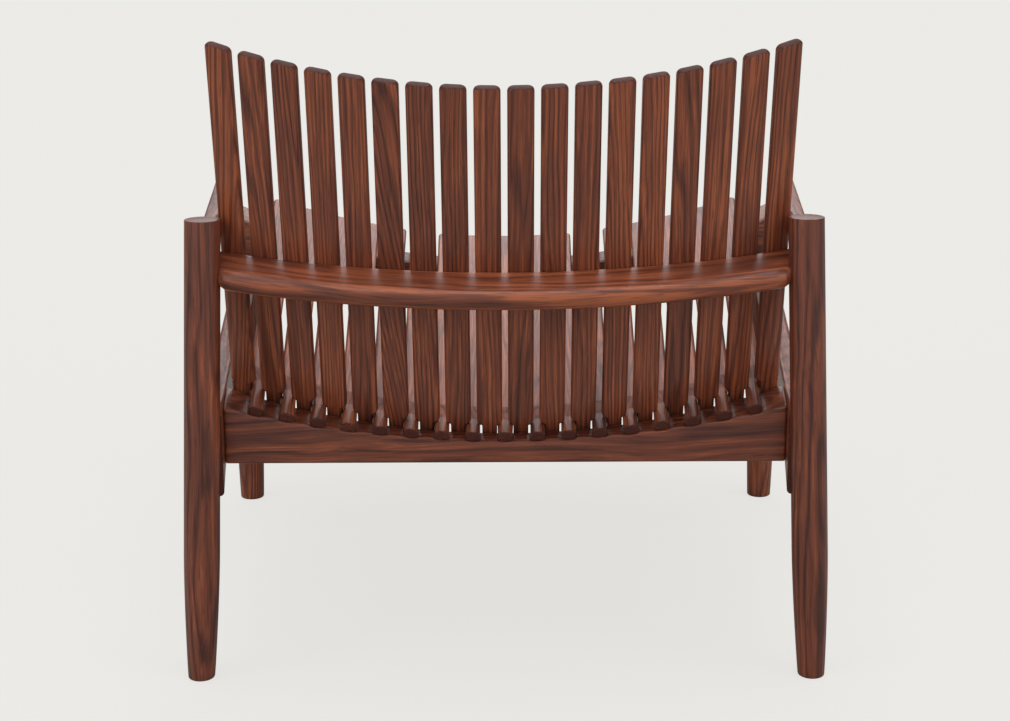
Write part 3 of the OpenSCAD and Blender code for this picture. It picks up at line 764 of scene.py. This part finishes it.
class CHAIR_OT_arms(bpy.types.Operator):
    """Models the arms and their posts"""

    bl_idname = "chair.arms"
    bl_label = "Shape the arms"

    def execute(self, context):
        f = context.scene.chair_frame
        straight = f.arm_reach - f.arm_nose_r
        rows = []
        # The rear end is let into the leg, a little below the leg's top so that no faces coincide
        reaches = [f.leg_d * LET_IN, f.leg_d / 2 + f.leg_ease]
        reaches += [straight * i / ARM_ROWS for i in range(1, ARM_ROWS + 1)]
        for y in reaches:
            w = arm_width(y / f.arm_reach)
            deep = f.arm_t - (f.leg_ease if y < f.leg_d / 2 else 0)
            rows.append((Vector((arm_edge(y) - w / 2, 0, y)), w, deep, f.arm_edge_r))
        middle, flat = rows[-1][0].x, rows[-1][1] - 2 * f.arm_nose_r
        for s, c in quarter(CORNER_STEPS)[1:]:
            y = straight + f.arm_nose_r * s
            half = flat / 2 + f.arm_nose_r * c
            ease = eased(f.arm_edge_r, f.arm_reach - y)
            rows.append((Vector((middle, 0, y)), 2 * half, f.arm_t - 2 * ease,
                         min(f.arm_edge_r, half) - ease * ARM_TIP_SHARE))
        post_y = f.arm_reach - f.post_back
        post_x = arm_edge(post_y) - arm_width(post_y / f.arm_reach) / 2
        post_foot = f.side_rail_z + post_y * f.side_rise
        post_h = f.leg_h - f.arm_t - post_foot + f.arm_t * 2 * POST_LET_IN
        turns = []
        for i in range(POST_ROWS + 1):
            t = i / POST_ROWS
            d = f.post_end_d + (f.post_d - f.post_end_d) * math.sin(math.pi * t)
            turns.append((Vector((0, 0, post_h * t)), d / 2))
        keep_pairs((lambda: draw_bar(rows), "arm",
                    Matrix.Translation((0, 0, f.leg_h - f.arm_t / 2)) @ turn(math.pi / 2, "X"),
                    lambda co: Vector((co.x - f.rear_leg_x, co.y, co.z))),
                   (lambda: draw_round(turns, POST_SEGMENTS), "arm_post",
                    Matrix.Translation((post_x, -post_y, post_foot - f.arm_t * POST_LET_IN)), None))
        return {"FINISHED"}


class CHAIR_OT_side_rails(bpy.types.Operator):
    """Models the side rails with their haunches"""

    bl_idname = "chair.side_rails"
    bl_label = "Shape the side rails"

    def execute(self, context):
        f = context.scene.chair_frame
        reach = f.leg_span / math.cos(math.atan(f.side_flare))
        runs = [(f.side_haunch_l * i / HAUNCH_ROWS, (1 - i / HAUNCH_ROWS) ** 2)
                for i in range(HAUNCH_ROWS + 1)] + [(reach, 0)]
        rows = []
        for run, haunch in runs:
            deep = f.side_rail_h + (f.side_haunch_h - f.side_rail_h) * haunch
            rows.append((Vector((0, run * f.side_rise - deep / 2, run)), f.side_rail_w, deep,
                         f.side_rail_r))
        keep_pairs((lambda: draw_bar(rows), "side_rail",
                    Matrix.Translation((side_x(), 0, f.side_rail_z))
                    @ turn(math.atan(f.side_flare), "Z") @ turn(math.pi / 2, "X"), None))
        return {"FINISHED"}


def long_bar(reach, cuts):
    """A bar along x from -reach to reach, cut into short lengths, 1 wide and 1 deep."""
    bm = bmesh.new()
    bmesh.ops.create_cube(bm, size=1)
    bmesh.ops.scale(bm, vec=(2 * reach, 1, 1), verts=bm.verts)
    runs = [e for e in bm.edges if abs(e.verts[0].co.x - e.verts[1].co.x) > reach]
    bmesh.ops.subdivide_edges(bm, edges=runs, cuts=cuts, use_grid_fill=True)
    return bm


class CHAIR_OT_seat_rails(bpy.types.Operator):
    """Models the rear rail and the front rail under the seat"""

    bl_idname = "chair.seat_rails"
    bl_label = "Shape the seat rails"

    def execute(self, context):
        f, r = context.scene.chair_frame, context.scene.chair_rails
        self.rear_rail(f, r)
        self.front_rail(f, r)
        return {"FINISHED"}

    def rear_rail(self, f, r):
        rear = -r.rear_rail_y
        inner = side_x() - f.side_rail_w / 2 - rear * f.side_flare
        bm = long_bar(inner, REAR_RAIL_CUTS)
        pitch = seat_rear_x(1) - seat_rear_x(2)
        for v in bm.verts:
            x, up, back = v.co.x, v.co.z > 0, v.co.y > 0
            z = r.rear_rail_z
            y = rear if back else back_surface_y(x, z)
            if up:
                for _ in range(EDGE_ROUNDS):
                    z = seat_surface_z(r.seat_rear_r, r.rear_rail_y, r.seat_rear_z, x, y)
                    y = rear if back else back_surface_y(x, z)
                wave = min(abs(x), pitch * SEAT_SLATS / 2) / pitch
                z += r.rear_rail_wave * (1 - math.cos(2 * math.pi * wave)) / 2
            if not back:
                x *= 1 + (rear - y) * f.side_flare / inner
            v.co = Vector((x, y, z))
        round_sharp_edges(bm, r.rear_rail_r)
        keep_piece(bm, "rear_rail", chair_place(),
                   grain=lambda co: Vector((co.y - rear, co.z - r.rear_rail_z, co.x)))

    def front_rail(self, f, r):
        back = f.leg_span - r.front_rail_w / 2
        bm = long_bar(f.front_leg_x + r.front_rail_over, FRONT_RAIL_CUTS)
        for v in bm.verts:
            x, up = v.co.x, v.co.z > 0
            y = -back
            if v.co.y < 0:
                y -= r.front_rail_w + hollow(r.front_rail_bow_r, x)
            z = r.seat_front_z - r.front_rail_h + hollow(r.front_rail_under_r, x)
            if up:
                z = seat_surface_z(r.seat_front_r, f.leg_span, r.seat_front_z, x, y)
            v.co = Vector((x, y, z))
        round_sharp_edges(bm, r.front_rail_r)
        keep_piece(bm, "front_rail", chair_place(),
                   grain=lambda co: Vector((co.y + f.leg_span, co.z - r.seat_front_z, co.x)))


class CHAIR_OT_back_rail(bpy.types.Operator):
    """Models the curved rail behind the back slats"""

    bl_idname = "chair.back_rail"
    bl_label = "Bend the back rail"

    def execute(self, context):
        f, r = context.scene.chair_frame, context.scene.chair_rails
        reach = foot_x() - r.back_rail_z * math.tan(f.rear_splay) - f.leg_d * LET_IN
        span = math.asin(reach / r.back_r)
        bm, corners = draw_section(r.back_rail_w, r.back_rail_t)
        rear = [v for v in corners if v.co.x > 0]
        front = [v for v in corners if v.co.x < 0]
        round_off(bm, rear, r.back_rail_t * FULL_ROUND, "VERTICES", FULL_ROUND_SEGMENTS)
        round_off(bm, front, r.back_rail_r, "VERTICES")
        # The section's x becomes the way out of the back, and its y the way up the slats
        out = r.back_r + r.back_rail_w / 2
        stand = (turn(span, "Z") @ Matrix.Translation((0, out, -r.back_rail_t / 2))
                 @ turn(math.pi / 2, "Z") @ turn(math.pi / 2, "X"))
        bmesh.ops.transform(bm, matrix=stand, verts=bm.verts)
        bmesh.ops.spin(bm, geom=bm.verts[:] + bm.edges[:] + bm.faces[:], cent=(0, 0, 0),
                       axis=(0, 0, -1), angle=2 * span, steps=BACK_RAIL_STEPS, use_merge=False)
        corner = r.back_rail_end_r
        start = reach - f.leg_d * LET_IN - corner
        for v in bm.verts:
            past = min(max(0, abs(v.co.x) - start), corner)
            drawn_in = corner - math.sqrt(corner ** 2 - past ** 2)
            out = math.hypot(v.co.x, v.co.y)
            v.co.xy *= 1 - drawn_in / out * max(0, out - r.back_r) / r.back_rail_w
        keep_piece(bm, "back_rail", back_place() @ Matrix.Translation((0, -r.back_r, 0)),
                   grain=lambda co: Vector((math.hypot(co.x, co.y) - r.back_r, co.z,
                                            math.atan2(co.x, co.y) * r.back_r)))
        return {"FINISHED"}


class CHAIR_OT_back_slats(bpy.types.Operator):
    """Models the back slats with their necks and rounded tops"""

    bl_idname = "chair.back_slats"
    bl_label = "Shape the back slats"

    def execute(self, context):
        s = context.scene.chair_slats
        w, t, ease = s.back_slat_w, s.back_slat_t, s.slat_ease
        for k in range(1, BACK_SLATS + 1):
            rise = hollow(s.neck_line_r, back_x(k))
            slope = math.tan(math.asin(back_x(k) / s.top_line_r))
            low = rise - s.back_slat_down
            shoulder = rise - s.neck_down
            top = s.back_slat_up + s.top_lift + hollow(s.top_line_r, back_x(k))
            # The end slats keep nearly their whole width on the outer side, beside the side rails
            end = math.copysign(k in (1, BACK_SLATS), back_x(k))
            more = (w - s.neck_w) / 2 - s.end_neck_out if end else 0
            neck_w = s.neck_w + more
            away = end * more / 2
            # Each row: height, width, depth, corner radius, shift sideways
            rows = []
            for q, c in quarter():
                thin = 2 * ease * (1 - q)
                rows.append((low + ease * (1 - c), neck_w - thin, t - thin,
                             ease * (1 + (NECK_ROUND - 1) * q), away))
            rows.append((shoulder - ease, neck_w, t, NECK_ROUND * ease, away))
            for q, c in quarter(CORNER_STEPS):
                inner = s.shoulder_r * (1 - q)
                outer = min(s.shoulder_r, 2 * s.end_neck_out) * (1 - q) if end else inner
                rows.append((shoulder + s.shoulder_r * (1 - c), w - inner - outer, t,
                             s.slat_round * (SHOULDER_ROUND + (1 - SHOULDER_ROUND) * q),
                             end * (inner - outer) / 2))
            rows.append((shoulder + w, w, t, s.slat_round, 0))
            for q, c in quarter(TIP_STEPS):
                z = top - s.slat_round * (1 - q)
                thin = eased(ease, top - z)
                rows.append((z, s.back_slat_top_w - 2 * s.slat_round * (1 - c), t - 2 * thin,
                             s.slat_round - thin, 0))
            bm = draw_bar([(Vector((x, -t / 2, z)), wide, deep, radius)
                           for z, wide, deep, radius, x in rows])
            for v in bm.verts:
                if v.co.z > top - 2 * s.slat_round:
                    v.co.z += slope * v.co.x
            keep_piece(bm, "back_slat", back_slat_place(k), f"_{k:02d}", k)
        return {"FINISHED"}


class CHAIR_OT_seat_slats(bpy.types.Operator):
    """Models the seat slats with their fingers and rounded tips"""

    bl_idname = "chair.seat_slats"
    bl_label = "Shape the seat slats"

    def execute(self, context):
        r, s = context.scene.chair_rails, context.scene.chair_slats
        for k in range(1, SEAT_SLATS + 1):
            neck = seat_neck(k)
            body = neck + s.finger_blend
            tip = along_seat(k, s.seat_tip - r.rear_rail_y)
            # The necks lean in front of the outermost fingers, which are narrower on that side
            give = s.finger_give * max(0, abs(SEAT_MIDDLE - k) - CLEAR_FINGERS)
            if k == SEAT_MIDDLE:
                # The middle finger stands between two necks alike and fills their gap
                side, neck_w = 0, s.finger_neck_w + s.finger_side
            else:
                side = math.copysign(s.finger_side - give / 2, SEAT_MIDDLE - k)
                neck_w = s.finger_neck_w - give
            # Each row: distance forward, width, depth, depth before easing, corner radius
            rows = []
            for q, c in quarter():
                thin = s.finger_ease * (1 - q)
                rows.append((s.finger_set + s.finger_ease * (1 - c), s.finger_w - 2 * thin,
                             s.finger_t - 2 * thin, s.finger_t, s.finger_r - thin))
            for u in BLEND_STEPS:
                full = s.finger_t + (s.seat_slat_t - s.finger_t) * u
                rows.append((neck + (body - neck) * u, neck_w + (s.seat_slat_rear_w - neck_w) * u,
                             full, full, s.finger_r + (s.seat_slat_r - s.finger_r) * u))
            widening = (s.seat_slat_front_w - s.seat_slat_rear_w) / (tip - body)
            for q, c in quarter(TIP_STEPS):
                z = tip - s.tip_round * (1 - q)
                wide = s.seat_slat_rear_w + widening * (z - body)
                thin = eased(s.seat_slat_r, tip - z)
                rows.append((z, wide - 2 * s.tip_round * (1 - c), s.seat_slat_t - 2 * thin,
                             s.seat_slat_t, s.seat_slat_r - SEAT_TIP_SHARE * thin))
            stations = []
            for z, wide, deep, full, radius in rows:
                x = side * min(1, max(0, (body - z) / (body - neck)))
                stations.append((Vector((x, full / 2, z)), wide, deep, radius))
            bm = draw_bar(stations)
            keep_piece(bm, "seat_slat", seat_slat_place(k), f"_{k:02d}", k)
        return {"FINISHED"}


class CHAIR_OT_dowels(bpy.types.Operator):
    """Gives the hidden dowels their beech"""

    bl_idname = "chair.dowels"
    bl_label = "Finish the dowels"

    def execute(self, context):
        beech = turned_beech("turned_beech")
        for name in ("back_rail_dowels", "neck_dowels", "finger_dowels", "front_rail_dowels"):
            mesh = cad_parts[name].data
            mesh.materials.clear()
            mesh.materials.append(beech)
        return {"FINISHED"}


class CHAIR_OT_studio(bpy.types.Operator):
    """Sets up the floor, the lamps, the world and the camera"""

    bl_idname = "chair.studio"
    bl_label = "Set up the studio"

    def execute(self, context):
        scene = context.scene
        studio = scene.chair_studio
        self.floor(studio)
        self.world(scene, studio)
        self.lamps(scene, studio)
        self.camera(scene, studio)
        scene.view_settings.view_transform = "Standard"
        return {"FINISHED"}

    def floor(self, studio):
        # Matt backdrop paper: no gloss, an even warm white, its shadow softened for the camera
        material, tree = new_material("matt_paper")
        if tree is not None:
            rays = add_node(tree, "ShaderNodeLightPath").outputs
            seen = add_node(tree, "ShaderNodeMix", {
                "Factor": rays["Is Camera Ray"], "A": linear(studio.bounce),
                "B": linear(studio.paper)}, data_type="RGBA")
            paper = add_node(tree, "ShaderNodeBsdfPrincipled", {
                "Base Color": seen.outputs["Result"], "Roughness": 1, "Specular IOR Level": 0})
            glow = add_node(tree, "ShaderNodeEmission", {
                "Color": linear(studio.paper), "Strength": studio.glow})
            share = add_node(tree, "ShaderNodeMath", {
                0: rays["Is Camera Ray"], 1: 1 - studio.shadow}, operation="MULTIPLY")
            mixed = add_node(tree, "ShaderNodeMixShader", {
                0: share.outputs[0], 1: paper.outputs[0], 2: glow.outputs[0]})
            add_node(tree, "ShaderNodeOutputMaterial", {"Surface": mixed.outputs[0]})
        bm = bmesh.new()
        bmesh.ops.create_grid(bm, x_segments=1, y_segments=1, size=FLOOR_HALF)
        make_object("paper_floor", bm, material)

    def world(self, scene, studio):
        world = bpy.data.worlds.new("studio_world")
        world.use_nodes = True
        tree = world.node_tree
        tree.nodes.clear()
        rays = add_node(tree, "ShaderNodeLightPath").outputs
        light = add_node(tree, "ShaderNodeBackground", {
            "Color": linear("#ffffff"), "Strength": studio.world})
        walls = add_node(tree, "ShaderNodeBackground", {
            "Color": linear(studio.sheen), "Strength": studio.gloss})
        paper = add_node(tree, "ShaderNodeBackground", {
            "Color": linear(studio.paper), "Strength": 1})
        mixed = add_node(tree, "ShaderNodeMixShader", {
            0: rays["Is Glossy Ray"], 1: light.outputs[0], 2: walls.outputs[0]})
        mixed = add_node(tree, "ShaderNodeMixShader", {
            0: rays["Is Camera Ray"], 1: mixed.outputs[0], 2: paper.outputs[0]})
        add_node(tree, "ShaderNodeOutputWorld", {"Surface": mixed.outputs[0]})
        scene.world = world

    def lamps(self, scene, studio):
        # Each lamp: name, strength, way that its light comes from, width in degrees
        lamps = (("front_softbox", studio.front, (0, -0.88, 0.48), 34),
                 ("top_softbox", studio.top, (0, 0, 1), 50),
                 ("left_softbox", studio.side, (1, 0.6, 0.5), 35),
                 ("right_softbox", studio.side, (-1, 0.6, 0.5), 35),
                 ("rear_softbox", studio.rear, (0, 1, 0.15), 140))
        for name, strength, source, width in lamps:
            data = bpy.data.lights.new(name, "SUN")
            data.energy = strength
            data.angle = math.radians(width)
            lamp = bpy.data.objects.new(name, data)
            lamp.rotation_euler = Vector(source).to_track_quat("Z", "Y").to_euler()
            scene.collection.objects.link(lamp)

    def camera(self, scene, studio):
        data = bpy.data.cameras.new("camera")
        data.sensor_width = SENSOR
        # Blender takes the lens in millimetres
        data.lens = studio.camera_lens * 1000
        data.clip_end = VIEW_END
        camera = bpy.data.objects.new("camera", data)
        camera.location = chair_place() @ Vector((0, studio.camera_y, studio.camera_z))
        ahead = Vector((0, -math.cos(studio.camera_pitch), -math.sin(studio.camera_pitch)))
        aim = ahead.to_track_quat("-Z", "Y").to_matrix()
        roll = Matrix.Rotation(studio.camera_roll, 3, ahead)
        camera.rotation_euler = (roll @ aim).to_euler()
        scene.collection.objects.link(camera)
        scene.camera = camera


class CHAIR_PT_panel(bpy.types.Panel):
    """Lists the chair's pieces and the studio"""

    bl_idname = "CHAIR_PT_panel"
    bl_label = "Slatted lounge chair"
    bl_space_type = "VIEW_3D"
    bl_region_type = "UI"
    bl_category = "Chair"

    def draw(self, context):
        for step in STEPS:
            self.layout.operator(step.bl_idname)
        for group in GROUPS:
            box = self.layout.box()
            values = getattr(context.scene, group)
            for key in values.__annotations__:
                box.prop(values, key)


STEPS = (CHAIR_OT_legs, CHAIR_OT_side_rails, CHAIR_OT_seat_rails, CHAIR_OT_back_rail,
         CHAIR_OT_arms, CHAIR_OT_back_slats, CHAIR_OT_seat_slats, CHAIR_OT_dowels, CHAIR_OT_studio)
GROUPS = {"chair_frame": ChairFrameSizes, "chair_rails": ChairRailSizes,
          "chair_slats": ChairSlatSizes, "chair_wood": ChairWood, "chair_studio": ChairStudio}


def register():
    """Registers the groups of values, the steps and the panel."""
    for group, kind in GROUPS.items():
        bpy.utils.register_class(kind)
        setattr(bpy.types.Scene, group, bpy.props.PointerProperty(type=kind))
    for kind in STEPS + (CHAIR_PT_panel,):
        bpy.utils.register_class(kind)


def unregister():
    """Takes away all that register gives."""
    for kind in reversed(STEPS + (CHAIR_PT_panel,)):
        bpy.utils.unregister_class(kind)
    for group, kind in reversed(GROUPS.items()):
        delattr(bpy.types.Scene, group)
        bpy.utils.unregister_class(kind)


def main():
    """Builds the chair and its studio."""
    register()
    bpy.ops.chair.legs()
    bpy.ops.chair.side_rails()
    bpy.ops.chair.seat_rails()
    bpy.ops.chair.back_rail()
    bpy.ops.chair.arms()
    bpy.ops.chair.back_slats()
    bpy.ops.chair.seat_slats()
    bpy.ops.chair.dowels()
    bpy.ops.chair.studio()
    bpy.context.view_layer.update()


if __name__ == "__main__":
    main()
